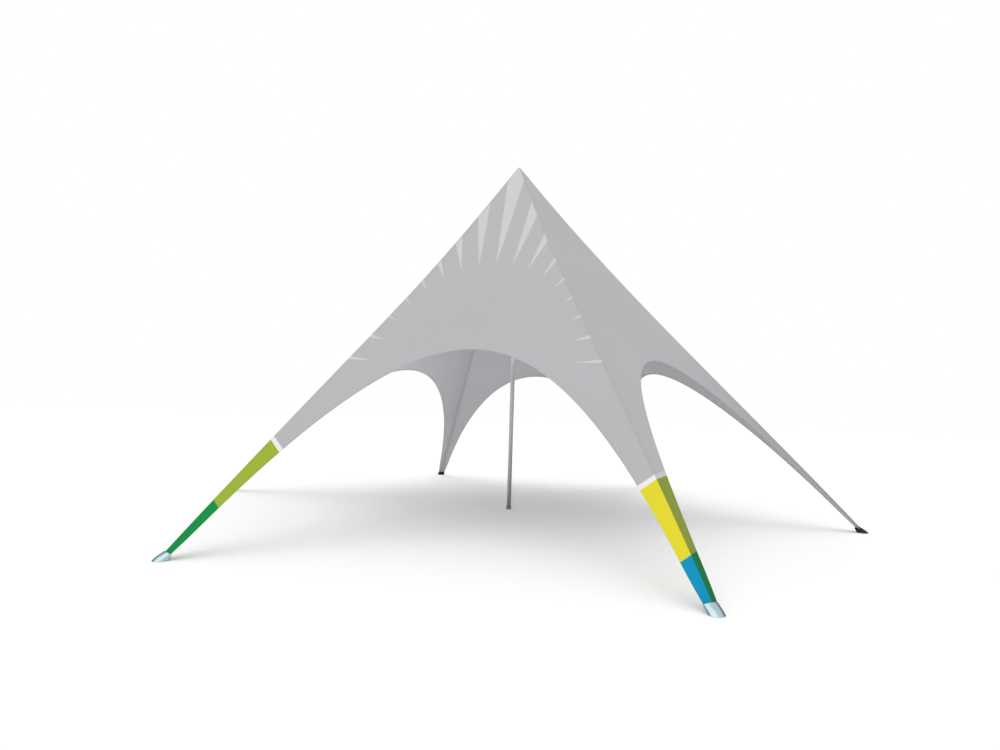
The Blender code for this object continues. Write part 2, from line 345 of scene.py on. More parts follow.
def cloth_finish(name, base, rays=None):
    """Coated polyester: fine weave, soft cloudy tone, stitched hems and ridge seams, dust near the ground, and painted
    shade on the unprinted legs' outer faces, darker towards the ground.
    """
    finish = Finish(name)
    sideways, fall, plain = finish.attribute("cut")
    hem, ridge, along = finish.attribute("edge")
    height = finish.split(finish.place())[2]
    if rays:
        base = finish.mix(sunburst(finish, sideways, fall), base, rays)
    weave = (sideways * (2 * math.pi / THREAD)).sine() * (fall * (2 * math.pi / THREAD)).sine()
    cloud = finish.noise(0.9, 4.0) - 0.5
    crease = finish.noise(5.0, 2.0, (1, 1, 0.35)) - 0.5
    shape = bpy.context.scene.marquee_shape
    hem_lines = (STITCH, shape.hem_band - STITCH / 2)
    ridge_lines = (STITCH, shape.ridge_band - STITCH / 2)
    thread = stitching(finish, hem, along, hem_lines) + stitching(finish, ridge, fall, ridge_lines)
    dust = (height < 0.35) * (0.35 - height) * finish.noise(14.0, 5.0)
    seam = ridge < 0.004
    # Painted shade: the outer faces of the unprinted legs darken towards their ridges and towards the ground, for the
    # shade their turned-in sides get.
    upper = finish.split(finish.node("ShaderNodeNewGeometry", output="Normal"))[2] > 0
    painted_leg_shade = plain * upper * (1 - height.clamped(0.0, 2.6))
    change = cloud * 0.05 - thread * 0.10 - dust * 0.35 - seam * 0.10 + weave * 0.025 - painted_leg_shade * 0.42
    relief = weave * 0.12 + crease * 1.6 + thread * 0.35
    return finish.close(
        base_color=finish.shaded(base, change),
        roughness=0.72 + cloud * 0.16,
        normal=finish.bump(relief, 0.001, 0.8),
        specular_ior_level=0.12,
        sheen_weight=0.02,
        sheen_roughness=0.6,
    )


def webbing_finish(name, base):
    """Woven polyester strap: ribs across, darker selvedge noise."""
    finish = Finish(name)
    x, y, z = finish.split(finish.place())
    ribs = (z * (2 * math.pi / 0.004)).sine()
    cross = ((x + y) * (2 * math.pi / 0.003)).sine()
    cloud = finish.noise(9.0, 4.0) - 0.5
    return finish.close(
        base_color=finish.shaded(base, ribs * 0.06 + cloud * 0.18),
        roughness=0.85 + cloud * 0.1,
        normal=finish.bump(ribs * 0.5 + cross * 0.3, 0.0006, 0.9),
        specular_ior_level=0.2,
    )


def metal_finish(name, base, roughness, grain, wear=0.12, metallic=1.0, painted_shade_below=None):
    """Aluminium with fine drawn lines, faint blotches and small scratches, and, if asked, painted shade that darkens
    it towards the ground, standing for the shadowed floor mirrored in the metal.
    """
    finish = Finish(name)
    lines = finish.noise(40.0, 3.0, grain) - 0.5
    blotch = finish.noise(3.5, 4.0) - 0.5
    mark = finish.noise(70.0, 2.0, (1, 1, 0.15)).clamped(0.66, 0.72)
    change = lines * 0.10 + blotch * wear - mark * 0.10
    # Painted shade: darker towards the ground, for the shadowed floor mirrored in the metal.
    if painted_shade_below:
        height = finish.split(finish.place())[2]
        change = change - (1 - height.clamped(0.0, painted_shade_below)).power(0.45) * 0.79
    return finish.close(
        base_color=finish.shaded(base, change),
        metallic=metallic,
        roughness=roughness + lines * 0.10 + blotch * 0.16 + mark * 0.12,
        normal=finish.bump(lines, 0.0003, 0.35),
    )


def plastic_finish(name, base):
    """Moulded black plastic: fine grain, dull scuffs and a trace of dust."""
    finish = Finish(name)
    grain = finish.noise(420.0, 2.0) - 0.5
    scuff = finish.noise(16.0, 5.0) - 0.5
    height = finish.split(finish.place())[2]
    dust = (height < 0.05) * (0.05 - height) * 8
    return finish.close(
        base_color=finish.shaded(base, scuff * 0.9 + dust),
        roughness=0.48 + scuff * 0.35,
        normal=finish.bump(grain + scuff * 1.5, 0.0005, 0.6),
        specular_ior_level=0.45,
    )


def floor_finish(name, base):
    """Pale studio floor with a very faint mottle."""
    finish = Finish(name)
    mottle = finish.noise(0.4, 3.0) - 0.5
    return finish.close(
        base_color=finish.shaded(base, mottle * 0.012),
        roughness=0.9,
        specular_ior_level=0.0,
    )


# The star's cloth

GATHER_REACH = 0.07      # part of the half chord over which a leg narrows into its shoe


class Star:
    """The geometry of the stretched cloth: each panel is spanned by level lines between its two ridges."""

    def __init__(self, shape):
        self.shape = shape
        self.radius = shape.foot_radius
        self.height = shape.peak_height
        self.half_chord = self.radius * math.sin(math.pi / LEGS)
        self.mid_radius = self.radius * math.cos(math.pi / LEGS)
        self.ridge_length = math.hypot(self.radius, self.height)
        self.panel_fall = math.hypot(self.mid_radius, self.height)
        self.hem_rise = (1 - shape.arch_start) / (1 - shape.leg_side / self.half_chord) ** 2
        self.skew = self.radius ** 2 / (4 * self.ridge_length ** 2)
        self.leg_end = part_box("leg_right")[1].x / self.radius

    def ridge_height(self, share):
        """Height of a ridge at a share of its run from the peak (0) to the foot (1)."""
        blunt = self.shape.peak_rounding / self.radius
        blunted = (math.hypot(share, blunt) - blunt) / (math.hypot(1, blunt) - blunt)
        sag = self.shape.ridge_dip * 27 / 4 * share * (1 - share) ** 2
        return self.height * (1 - blunted) - sag

    def gathered(self, part):
        """Share of the run by which the hem drops where the shoe draws the leg in, at a part of the half chord."""
        foot = 1 - self.shape.leg_side / self.half_chord
        slope = 2 * self.hem_rise * foot / self.half_chord
        return self.shape.leg_gather * slope * (max(part - foot + GATHER_REACH, 0) / GATHER_REACH) ** 2

    def hem_share(self, sideways):
        """Share of the run at which the hem lies, at a distance sideways from the panel's middle."""
        part = abs(sideways) / self.half_chord
        return self.shape.arch_start + self.hem_rise * part ** 2 - self.gathered(part)

    def hem_half_width(self, share):
        """Half width of the arched opening at a share of the run."""
        part = 0
        for _ in range(20):
            part = math.sqrt(max(share + self.gathered(part) - self.shape.arch_start, 0) / self.hem_rise)
        return self.half_chord * part

    def leg_width(self, share):
        """Width of one side of a leg, along the panel's level line."""
        return self.half_chord * share - self.hem_half_width(share)

    def hem_distance(self, sideways, share):
        """Distance across the cloth from a point to the hem."""
        below = (self.hem_share(sideways) - share) * self.panel_fall
        slope = 2 * self.hem_rise * sideways / self.half_chord ** 2 * self.panel_fall
        return below / math.hypot(1, slope)

    def ridge_distance(self, sideways, share):
        """Distance across the cloth from a point to the nearest ridge."""
        return (self.half_chord * share - abs(sideways)) * self.panel_fall / self.ridge_length

    def panel_point(self, angle, sideways, share):
        """Point on a panel: a distance sideways from its middle, at a share of the run."""
        point = heading(angle) * (self.mid_radius * share) + heading(angle + 90) * sideways
        point.z = self.ridge_height(share)
        return point

    def panel_normal(self, angle):
        """Direction that a panel faces."""
        return (heading(angle) * self.height + Vector((0, 0, self.mid_radius))) / self.panel_fall


def heading(degrees):
    """Level unit vector pointing away from the pole."""
    return Vector((math.cos(math.radians(degrees)), math.sin(math.radians(degrees)), 0))


STEP = 0.003             # width of the slope up to a hem, a seam or the crown patch
CROWN_ROWS = (0.0, 0.05, 0.13, 0.27, 0.5, 0.75, 1.0)      # as parts of the crown patch
SEAM_COLUMNS = 3         # last columns of a half panel: the seam's foot, its edge and the ridge


def column_ends(star):
    """Each column of half a panel as (part of the way to the seam, share of the run where it ends)."""
    shape = star.shape
    ends = []
    reach = star.hem_half_width(star.leg_end) / star.half_chord
    for step in range(shape.hem_columns + 1):
        sideways = star.half_chord * reach * step / shape.hem_columns
        share = star.hem_share(sideways)
        ends.append((sideways / seam_foot(star, share), share))
    last = ends[-1][0]
    ends.append(((last + 1) / 2, star.leg_end))
    return ends


def seam_foot(star, share):
    """Distance sideways from a panel's middle to the foot of its ridge seam."""
    crown = star.shape.crown_share
    level = star.panel_fall / star.ridge_length
    band = (star.shape.ridge_band + STEP) / level * min(1, share / crown)
    return star.half_chord * share - band


def place_column(star, ends, column, share):
    """Distance sideways of a column at a share of the run."""
    level = star.panel_fall / star.ridge_length
    squeeze = min(1, share / star.shape.crown_share)
    if column < len(ends):
        return ends[column][0] * seam_foot(star, share)
    bands = (star.shape.ridge_band + STEP, star.shape.ridge_band, 0)
    return star.half_chord * share - bands[column - len(ends)] / level * squeeze


def share_above_hem(star, ends, column, distance):
    """Share of the run at which a column comes within a distance of the hem, found by halving."""
    low, high = star.shape.crown_share, ends[min(column, star.shape.hem_columns)][1]
    for _ in range(40):
        middle = (low + high) / 2
        sideways = place_column(star, ends, min(column, star.shape.hem_columns), middle)
        if star.hem_distance(sideways, middle) > distance:
            low = middle
        else:
            high = middle
    return low


def column_shares(star, ends, column):
    """Shares of the run of a column's vertices, from the peak to the hem or the leg's end."""
    shape = star.shape
    crown = [shape.crown_share * part for part in CROWN_ROWS]
    start = shape.crown_share + STEP / star.panel_fall
    foot = share_above_hem(star, ends, column, shape.hem_band + STEP)
    edge = share_above_hem(star, ends, column, shape.hem_band)
    body = [start + (foot - start) * row / shape.rows for row in range(shape.rows + 1)]
    end = ends[column][1] if column < len(ends) else star.leg_end
    if column > shape.hem_columns:
        across = star.ridge_distance(place_column(star, ends, column, end), end)
        across /= star.ridge_distance(star.hem_half_width(end), end)
        end += star.skew * across * star.leg_width(end) / star.half_chord
    rim = [edge + (end - edge) * part for part in (0, 0.4, 0.75, 1)]
    return crown + body + rim


def slack(star, sideways, share):
    """Depth of the soft folds that fan out where a leg leaves its panels, as a share of the deepest."""
    width = star.leg_width(max(share, star.shape.arch_start))
    if width <= 0:
        return 0
    across = min((star.half_chord * share - abs(sideways)) / width, 1)
    along = (share - 0.40) / 0.52
    if not 0 < along < 1:
        return 0
    swell = math.sin(math.pi * along) ** 2 * math.sin(math.pi * across) ** 2
    return swell * (0.5 - 0.5 * math.cos(6 * math.pi * across))


def drawn_in(star, sideways, share):
    """Depth to which a panel is drawn in between its ridges, as a share of the deepest."""
    across = 1 - min(sideways / (star.half_chord * share), 1) ** 2 if share else 0
    below = max(star.hem_share(sideways) - share, 0) / star.shape.arch_start
    return across * min(share / 0.25, 1) ** 2 * (1 - (1 - min(below / 0.5, 1)) ** 2)


def star_sheet():
    """The whole star as one open sheet in a bmesh, with its cut and edge attributes."""
    star = Star(bpy.context.scene.marquee_shape)
    shape = star.shape
    ends = column_ends(star)
    half = len(ends) + SEAM_COLUMNS - 1
    shares = [column_shares(star, ends, column) for column in range(half + 1)]
    rows = len(shares[0]) - 1
    hem_start = rows - 3
    arc = hem_lengths(star, ends, shares)
    printed = [LEG_ANGLES[leg] for leg in PRINTED_LEGS]

    sheet = bmesh.new()
    cut = sheet.verts.layers.float_vector.new("cut")
    edge = sheet.verts.layers.float_vector.new("edge")
    thick = sheet.verts.layers.deform.verify()
    for angle in PANEL_ANGLES.values():
        grid = bmesh.ops.create_grid(sheet, x_segments=2 * half, y_segments=rows, size=1)
        for vertex in grid["verts"]:
            side = round((vertex.co.x + 1) * half) - half
            row = round((vertex.co.y + 1) / 2 * rows)
            column = abs(side)
            share = shares[column][row]
            sideways = place_column(star, ends, column, share)
            sewn = (row < len(CROWN_ROWS) or column > half - 2
                    or (row >= hem_start and column <= shape.hem_columns))
            vertex.co = star.panel_point(angle, math.copysign(sideways, side), share)
            sunk = 0 if sewn else shape.seam_rise + shape.fold_depth * slack(star, sideways, share)
            sunk += shape.belly * drawn_in(star, sideways, share)
            vertex.co.z -= sunk * star.panel_fall / star.mid_radius
            # The cut's third number is the share of painted shade on an unprinted leg: 0 at a panel's middle, 1 at its
            # ridge.
            plain = angle + math.copysign(180 / LEGS, side) not in printed
            vertex[cut] = (sideways, share * star.panel_fall, plain * (sideways / (star.half_chord * share or 1)) ** 2)
            vertex[edge] = (star.hem_distance(sideways, share), star.ridge_distance(sideways, share), arc[column])
            if sewn:
                vertex[thick][0] = 1.0
    bmesh.ops.remove_doubles(sheet, verts=sheet.verts, dist=0.00005)
    bmesh.ops.recalc_face_normals(sheet, faces=sheet.faces)
    return star, sheet


def hem_lengths(star, ends, shares):
    """Length along the hem from the arch's top to each column's end."""
    lengths, last = [0.0], None
    for column, column_share in enumerate(shares):
        share = column_share[-1]
        spot = Vector((place_column(star, ends, column, share), share * star.panel_fall))
        if last is not None:
            lengths.append(lengths[-1] + (spot - last).length)
        last = spot
    return lengths


def leg_sides(star):
    """Each printed leg's two sides as (leg, side, leg's angle, panel's angle)."""
    for leg in PRINTED_LEGS:
        angle = LEG_ANGLES[leg]
        front = PANEL_ANGLES["front"]
        outer = 2 * angle - front
        yield leg, "front", angle, front
        yield leg, "outer", angle, outer


def print_levels(leg):
    """Heights up the fold at which a leg's colours change, from the top."""
    print_ = bpy.context.scene.marquee_print
    top, join = {
        "front_left": (print_.left_top, print_.left_join),
        "front_right": (print_.right_top, print_.right_join),
    }[leg]
    return top, top - print_.band, join


def colour_edges(star, leg, side, angle, panel_angle):
    """The planes in which a leg's colours change on one of its sides, as (point, normal down the leg)."""
    print_ = bpy.context.scene.marquee_print
    slant = print_.front_slant if side == "front" else print_.outer_slant
    turn = math.copysign(1, math.sin(math.radians(angle - panel_angle)))
    for level in print_levels(leg):
        share = 1 - level / star.ridge_length
        low = share + slant * star.leg_width(share) / star.ridge_length
        fold = star.panel_point(panel_angle, turn * star.half_chord * share, share)
        hem = star.panel_point(panel_angle, turn * star.hem_half_width(low), low)
        normal = (hem - fold).cross(star.panel_normal(panel_angle))
        yield fold, normal * math.copysign(1, normal.dot(heading(angle)))


def faces_of_side(sheet, angle, panel_angle, reach):
    """Faces of one side of a leg, further from the pole than a reach."""
    across = heading(angle + 90)
    wanted = math.copysign(1, heading(panel_angle).dot(across))
    return [face for face in sheet.faces
            if (spot := face.calc_center_median()).dot(heading(angle)) > reach
            and 0 < spot.dot(across) * wanted < reach / 2]


def mark_prints(star, sheet):
    """Cuts the sheet along the printed legs' colour edges and numbers the colours of its faces."""
    colours = sheet.faces.layers.int.new("print")
    number = 0
    for leg, side, angle, panel_angle in leg_sides(star):
        edges = list(colour_edges(star, leg, side, angle, panel_angle))
        reach = star.radius * (1 - print_levels(leg)[0] / star.ridge_length) * 0.9
        for point, normal in edges:
            faces = faces_of_side(sheet, angle, panel_angle, reach)
            around = {part for face in faces for part in (*face.verts, *face.edges, face)}
            bmesh.ops.bisect_plane(sheet, geom=list(around), dist=0.0001, plane_co=point, plane_no=normal)
        for face in faces_of_side(sheet, angle, panel_angle, reach):
            spot = face.calc_center_median()
            passed = sum((spot - point).dot(normal) > 0 for point, normal in edges)
            if passed:
                face[colours] = number + passed
        number += len(edges)
    bmesh.ops.remove_doubles(sheet, verts=sheet.verts, dist=0.0002)
    return sheet.faces.layers.int.get("print")


def cloth_piece(name, sheet, materials, slots):
    """Makes an open sheet a cloth of its real thickness, and gives each face its material."""
    mesh = bpy.data.meshes.new(name)
    for face in sheet.faces:
        face.smooth = True
    sheet.to_mesh(mesh)
    for material in materials:
        mesh.materials.append(material)
    for polygon, slot in zip(mesh.polygons, slots):
        polygon.material_index = slot
    piece = bpy.data.objects.new(name, mesh)
    bpy.context.scene.collection.objects.link(piece)
    piece.vertex_groups.new(name="sewn")
    shape = bpy.context.scene.marquee_shape
    area = sum(polygon.area for polygon in mesh.polygons)
    cloth = piece.modifiers.new("Cloth", "SOLIDIFY")
    cloth.thickness = shape.seam_cloth
    cloth.offset = -1
    cloth.use_even_offset = True
    cloth.vertex_group = "sewn"
    cloth.thickness_vertex_group = shape.cloth_share
    select_only(piece)
    bpy.ops.object.modifier_apply(modifier=cloth.name)
    bpy.ops.object.shade_smooth_by_angle(angle=math.radians(35))
    return piece, area


# Operators

def select_only(piece):
    """Makes a piece the one that bpy.ops acts on."""
    bpy.ops.object.select_all(action="DESELECT")
    piece.select_set(True)
    bpy.context.view_layer.objects.active = piece


class MARQUEE_OT_canopy(bpy.types.Operator):
    """Stretch the canopy: six panels and their legs as one sheet, without the printed sleeves"""

    bl_idname = "marquee.canopy"
    bl_label = "Canopy"

    def execute(self, context):
        colours = context.scene.marquee_colours
        star, sheet = star_sheet()
        prints = mark_prints(star, sheet)
        bmesh.ops.delete(sheet, geom=[face for face in sheet.faces if face[prints]], context="FACES")
        front = heading(PANEL_ANGLES["front"])
        slots = []
        for face in sheet.faces:
            spot = face.calc_center_median()
            slots.append(int(spot.dot(front) > math.hypot(spot.x, spot.y) * math.cos(math.pi / LEGS)))
        grey = cloth_finish("Grey cloth", colours.cloth)
        rays = cloth_finish("Front panel cloth", colours.cloth, colours.rays)
        canopy, area = cloth_piece("canopy", sheet, (grey, rays), slots)
        sheet.free()
        half = math.atan(star.half_chord / star.panel_fall)
        flat = (2 * star.ridge_length * math.sin((LEGS - 1) * half),
                star.panel_fall - context.scene.marquee_shape.arch_start * star.panel_fall * math.cos(LEGS * half))
        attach(canopy, "root")
        plain = [leg for leg in LEG_ANGLES if leg not in PRINTED_LEGS]
        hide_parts("crown", *("panel_" + name for name in PANEL_ANGLES), *("leg_" + leg for leg in plain))
        return {"FINISHED"}


class MARQUEE_OT_printed_legs(bpy.types.Operator):
    """Sew the two printed sleeves on the front legs"""

    bl_idname = "marquee.printed_legs"
    bl_label = "Printed legs"

    def execute(self, context):
        colours = context.scene.marquee_colours
        # The outer sides take darker copies of the front colours: painted shade.
        tones = {
            ("front_left", "front"): (colours.white, colours.lime, colours.green),
            ("front_left", "outer"): (colours.white_in_painted_shade, colours.lime_in_painted_shade, colours.green_in_painted_shade),
            ("front_right", "front"): (colours.white, colours.yellow, colours.blue),
            ("front_right", "outer"): (colours.white_in_painted_shade, colours.lime_in_painted_shade, colours.green_in_painted_shade),
        }
        names = ("white", "upper colour", "lower colour")
        materials = []
        for (leg, side), shades in tones.items():
            for name, shade in zip(names, shades):
                materials.append(cloth_finish(f"{leg} {side} {name}", shade))
        half = len(materials) // 2
        for count, (leg, slot) in enumerate(zip(PRINTED_LEGS, ("lime_cloth", "yellow_cloth"))):
            star, sheet = star_sheet()
            prints = mark_prints(star, sheet)
            wanted = range(1 + half * count, 1 + half * (count + 1))
            bmesh.ops.delete(sheet, geom=[face for face in sheet.faces if face[prints] not in wanted],
                             context="FACES")
            slots = [face[prints] - wanted.start for face in sheet.faces]
            sleeve, area = cloth_piece("printed_leg_" + leg, sheet, materials[half * count:half * (count + 1)], slots)
            sheet.free()
            length = print_levels(leg)[0]
            top = 1 - length / star.ridge_length
            width = 2 * star.ridge_distance(star.hem_half_width(top), top)
            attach(sleeve, "root")
            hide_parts("leg_" + leg)
            "shoe_" + leg
        return {"FINISHED"}


class MARQUEE_OT_webbing(bpy.types.Operator):
    """Give the ridge straps their woven finish"""

    bl_idname = "marquee.webbing"
    bl_label = "Ridge webbing"

    def execute(self, context):
        strap = webbing_finish("Woven webbing", context.scene.marquee_colours.webbing)
        for leg in LEG_ANGLES:
            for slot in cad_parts["ridge_webbing_" + leg].material_slots:
                slot.material = strap
        return {"FINISHED"}


def stack_rings(name, rings, sides, closed=False):
    """Extrudes a circle through a list of rings, each turned about Y and stretched to its oval."""
    first = rings[0]
    bpy.ops.object.select_all(action="DESELECT")
    bpy.ops.mesh.primitive_circle_add(vertices=sides, radius=1, location=first.centre,
                                      fill_type="NOTHING" if closed else "NGON")
    piece = bpy.context.object
    piece.name = name
    bpy.ops.object.mode_set(mode="EDIT")
    bpy.ops.mesh.select_all(action="SELECT")
    bpy.ops.transform.resize(value=(first.length, first.width, 1), center_override=first.centre)
    turn_ring(first.tilt, first.centre)
    for last, ring in zip(rings, rings[1:]):
        move = ring.centre - last.centre
        bpy.ops.mesh.extrude_region_move(TRANSFORM_OT_translate={"value": move})
        turn_ring(ring.tilt - last.tilt, ring.centre)
        stretch = ring.length / last.length
        bpy.ops.transform.resize(value=(stretch, ring.width / last.width, stretch), center_override=ring.centre)
    bpy.ops.mesh.select_all(action="SELECT")
    if closed:
        bpy.ops.mesh.remove_doubles(threshold=0.00002)
    bpy.ops.mesh.normals_make_consistent(inside=False)
    bpy.ops.object.mode_set(mode="OBJECT")
    bpy.ops.object.transform_apply(location=True, rotation=True, scale=True)
    return piece


def turn_ring(tilt, centre):
    """Turns the selection about Y, towards +X for a positive angle."""
    if abs(tilt) > 1e-9:
        bpy.ops.transform.rotate(value=-tilt, orient_axis="Y", center_override=centre)


def soften(piece, width, segments=2, angle=math.radians(28)):
    """Rounds a rigid piece's edges and shades it smooth."""
    select_only(piece)
    bevel = piece.modifiers.new("Rounded edges", "BEVEL")
    bevel.width = width
    bevel.segments = segments
    bevel.limit_method = "ANGLE"
    bevel.angle_limit = angle
    bpy.ops.object.modifier_apply(modifier=bevel.name)
    bpy.ops.object.shade_smooth_by_angle(angle=math.radians(35))


def turned(name, profile, sides=48, closed=False):
    """A shape turned about the pole, from (radius, height) pairs."""
    rings = [Ring(Vector((0, 0, height)), 0, radius, radius) for radius, height in profile]
    return stack_rings(name, rings, sides, closed)


def set_finish(piece, material, slot, *nodes):
    """Gives a piece its material, and fixes it to the body in place of CAD nodes."""
    piece.data.materials.clear()
    piece.data.materials.append(material)
    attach(piece, "root")
    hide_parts(*nodes)


class ShoeSizes:
    """Sizes of a shoe at angle 0, worked out from the frame's own shoe."""

    rim_up = 0.108           # distance of the rim from the ground, along the ridge
    fold_to_axis = 0.0287    # the leg's fold lies this far above the middle of the cup
    rim_half = (0.0332, 0.0718)      # half height and half width of the rim, outside
    rim_sunk = 0.0015        # the rim's middle lies this far below the frame's, nearer to the fold
    wall = 0.0022
    bead = 0.0008            # the rolled rim stands this far proud
    bead_height = 0.008
    cup = 0.026
    sole_half = (0.073, 0.074)
    sole_x = 4.966
    edge = 0.004             # height of the sole's upright edge
    flare_rings = 7


def shoe_rings(star):
    """The rings of a shoe from the middle of its sole, up the flare, over the rim and down the cup."""
    sizes = ShoeSizes
    up = Vector((-star.radius, 0, star.height)) / star.ridge_length
    out = Vector((star.height, 0, star.radius)) / star.ridge_length
    lean = math.atan2(up.x, up.z)
    rim = Vector((star.radius, 0, 0)) + up * sizes.rim_up - out * (sizes.fold_to_axis + sizes.rim_sunk)
    sole = Vector((sizes.sole_x, 0, 0))
    rings = [Ring(sole, 0, *sizes.sole_half)]
    foot = sole + Vector((0, 0, sizes.edge))
    rings.append(Ring(foot, 0, *sizes.sole_half))
    neck = rim - up * sizes.bead_height
    for step in range(1, sizes.flare_rings + 1):
        part = step / sizes.flare_rings
        ease = 1 - (1 - part) ** 1.25
        centre = foot.lerp(neck, part)
        length = sizes.sole_half[0] + (sizes.rim_half[0] - sizes.sole_half[0]) * ease
        width = sizes.sole_half[1] + (sizes.rim_half[1] - sizes.sole_half[1]) * ease
        rings.append(Ring(centre, lean * part, length, width))
    outer = [half + sizes.bead for half in sizes.rim_half]
    inner = [half - sizes.wall for half in sizes.rim_half]
    rings.append(Ring(neck + up * 0.0015, lean, *outer))
    rings.append(Ring(rim, lean, *outer))
    rings.append(Ring(rim, lean, *inner))
    rings.append(Ring(rim - up * sizes.cup, lean, *inner))
    return rings


class MARQUEE_OT_shoes(bpy.types.Operator):
    """Make the six flared shoes that the legs stand in"""

    bl_idname = "marquee.shoes"
    bl_label = "Shoes"

    def execute(self, context):
        colours = context.scene.marquee_colours
        star = Star(context.scene.marquee_shape)
        metal = metal_finish("Bright aluminium", colours.shoe_metal, 0.22, (1, 1, 6))
        black = plastic_finish("Black plastic", colours.shoe_black)
        model = stack_rings("shoe_model", shoe_rings(star), 64)
        soften(model, 0.0016, 3)
        for leg, angle in LEG_ANGLES.items():
            shoe = model.copy()
            shoe.data = model.data.copy()
            shoe.name = "shoe_" + leg + "_shell"
            shoe.data.transform(Matrix.Rotation(math.radians(angle), 4, "Z"))
            context.scene.collection.objects.link(shoe)
            bright = leg in PRINTED_LEGS
            set_finish(shoe, metal if bright else black, "shoe_metal" if bright else "shoe_black", "shoe_" + leg)
        bpy.data.objects.remove(model)
        return {"FINISHED"}


class MARQUEE_OT_pole(bpy.types.Operator):
    """Make the pole's two tubes and the coupling that joins them"""

    bl_idname = "marquee.pole"
    bl_label = "Pole"

    def execute(self, context):
        colours = context.scene.marquee_colours
        # The pole's colour darkens below 2.3 m: painted shade for the shadowed floor mirrored in it.
        drawn = metal_finish("Satin pole", colours.pole, 0.38, (6, 6, 0.05), metallic=0.5, painted_shade_below=2.3)
        outer = POLE_HIGH.x
        wall = 0.003
        upper_low, upper_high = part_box("pole_upper_tube")
        spans = {"lower": (POLE_LOW.z, POLE_HIGH.z), "upper": (upper_low.z, upper_high.z)}
        for name, (low, high) in spans.items():
            profile = ((outer, low), (outer, high), (outer - wall, high), (outer - wall, low), (outer, low))
            tube = turned(f"pole_{name}_shaft", profile, closed=True)
            soften(tube, 0.0008)
            set_finish(tube, drawn, "pole_metal", f"pole_{name}_tube")
        low, high, sleeve = COUPLING_LOW.z, COUPLING_HIGH.z, COUPLING_HIGH.x
        bore = outer + 0.0003
        lip = 0.0012
        profile = (
            (sleeve + lip, low), (sleeve + lip, low + 0.014), (sleeve, low + 0.017),
            (sleeve, high - 0.017), (sleeve + lip, high - 0.014), (sleeve + lip, high),
            (bore, high), (bore, low), (sleeve + lip, low),
        )
        coupling = turned("pole_coupling_sleeve", profile, closed=True)
        soften(coupling, 0.0009)
        set_finish(coupling, drawn, "pole_metal", "pole_coupling")
        return {"FINISHED"}


class MARQUEE_OT_screws(bpy.types.Operator):
    """Make the coupling's four hexagon screws with their washers"""

    bl_idname = "marquee.screws"
    bl_label = "Coupling screws"

    def execute(self, context):
        steel = metal_finish("Zinc steel", context.scene.marquee_colours.steel, 0.32, (1, 1, 1))
        middle = (COUPLING_LOW.z + COUPLING_HIGH.z) / 2
        reach = COUPLING_HIGH.x
        bpy.ops.object.select_all(action="DESELECT")
        washer = stack_rings("coupling_screws", [
            Ring(Vector((reach - 0.001, 0, middle)), math.pi / 2, 0.009, 0.009),
            Ring(Vector((reach + 0.0015, 0, middle)), math.pi / 2, 0.009, 0.009),
        ], 24)
        head = stack_rings("screw_head", [
            Ring(Vector((reach + 0.0015, 0, middle)), math.pi / 2, 0.0065, 0.0065),
            Ring(Vector((reach + 0.0065, 0, middle)), math.pi / 2, 0.0065, 0.0065),
            Ring(Vector((reach + 0.0075, 0, middle)), math.pi / 2, 0.0050, 0.0050),
        ], 6)
        for piece in (washer, head):
            soften(piece, 0.0004)
        select_only(washer)
        head.select_set(True)
        bpy.ops.object.join()
        screws = bmesh.new()
        for lift in (-0.075, 0.075):
            for turn in (0, math.pi):
                one = washer.data.copy()
                one.transform(Matrix.Translation((0, 0, lift)) @ Matrix.Rotation(turn, 4, "Z"))
                screws.from_mesh(one)
                bpy.data.meshes.remove(one)
        screws.to_mesh(washer.data)
        screws.free()
        washer.data.materials.clear()
        washer.data.materials.append(steel)
        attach(washer, "root")
        return {"FINISHED"}


class MARQUEE_OT_pole_ends(bpy.types.Operator):
    """Make the pole's ribbed foot and the domed head under the crown"""

    bl_idname = "marquee.pole_ends"
    bl_label = "Pole ends"

    def execute(self, context):
        plastic = plastic_finish("Pole end plastic", context.scene.marquee_colours.pole_end)
        star = Star(context.scene.marquee_shape)
        tube = POLE_HIGH.x + 0.0003
        rim, top = FOOT_HIGH.x, FOOT_HIGH.z
        floor = 0.008
        profile = [(rim - 0.003, 0.0), (rim, 0.003), (rim, 0.012)]
        for rib in range(3):
            base = 0.015 + rib * 0.009
            profile += [(rim - 0.0022, base), (rim - 0.0022, base + 0.003), (rim, base + 0.005), (rim, base + 0.007)]
        profile += [(rim, top - 0.003), (rim - 0.003, top), (tube, top), (tube, floor), (tube / 8, floor)]
        foot = turned("pole_foot_cap", profile)
        soften(foot, 0.0007)
        set_finish(foot, plastic, "pole_plastic", "pole_foot")

        skirt = POLE_HIGH.x + 0.006
        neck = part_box("pole_upper_tube")[1].z + 0.0003
        under = HEAD_HIGH.z - (HEAD_HIGH.z - neck) * 0.62
        drop = FRAME_HIGH.z - HEAD_HIGH.z
        profile = [(skirt, HEAD_LOW.z), (skirt + 0.0015, HEAD_LOW.z + 0.012), (skirt, HEAD_LOW.z + 0.016)]
        profile += [(skirt, neck), (HEAD_HIGH.x * 0.96, under - 0.004), (HEAD_HIGH.x, under)]
        reach = HEAD_HIGH.x / star.mid_radius
        for part in (0.97, 0.85, 0.7, 0.5, 0.3, 0.12, 0.04):
            profile.append((HEAD_HIGH.x * part, star.ridge_height(reach * part) - drop))
        head = turned("pole_head_dome", profile)
        soften(head, 0.001)
        set_finish(head, plastic, "pole_plastic", "pole_head")
        return {"FINISHED"}


# The camera as solved from the picture, and the studio

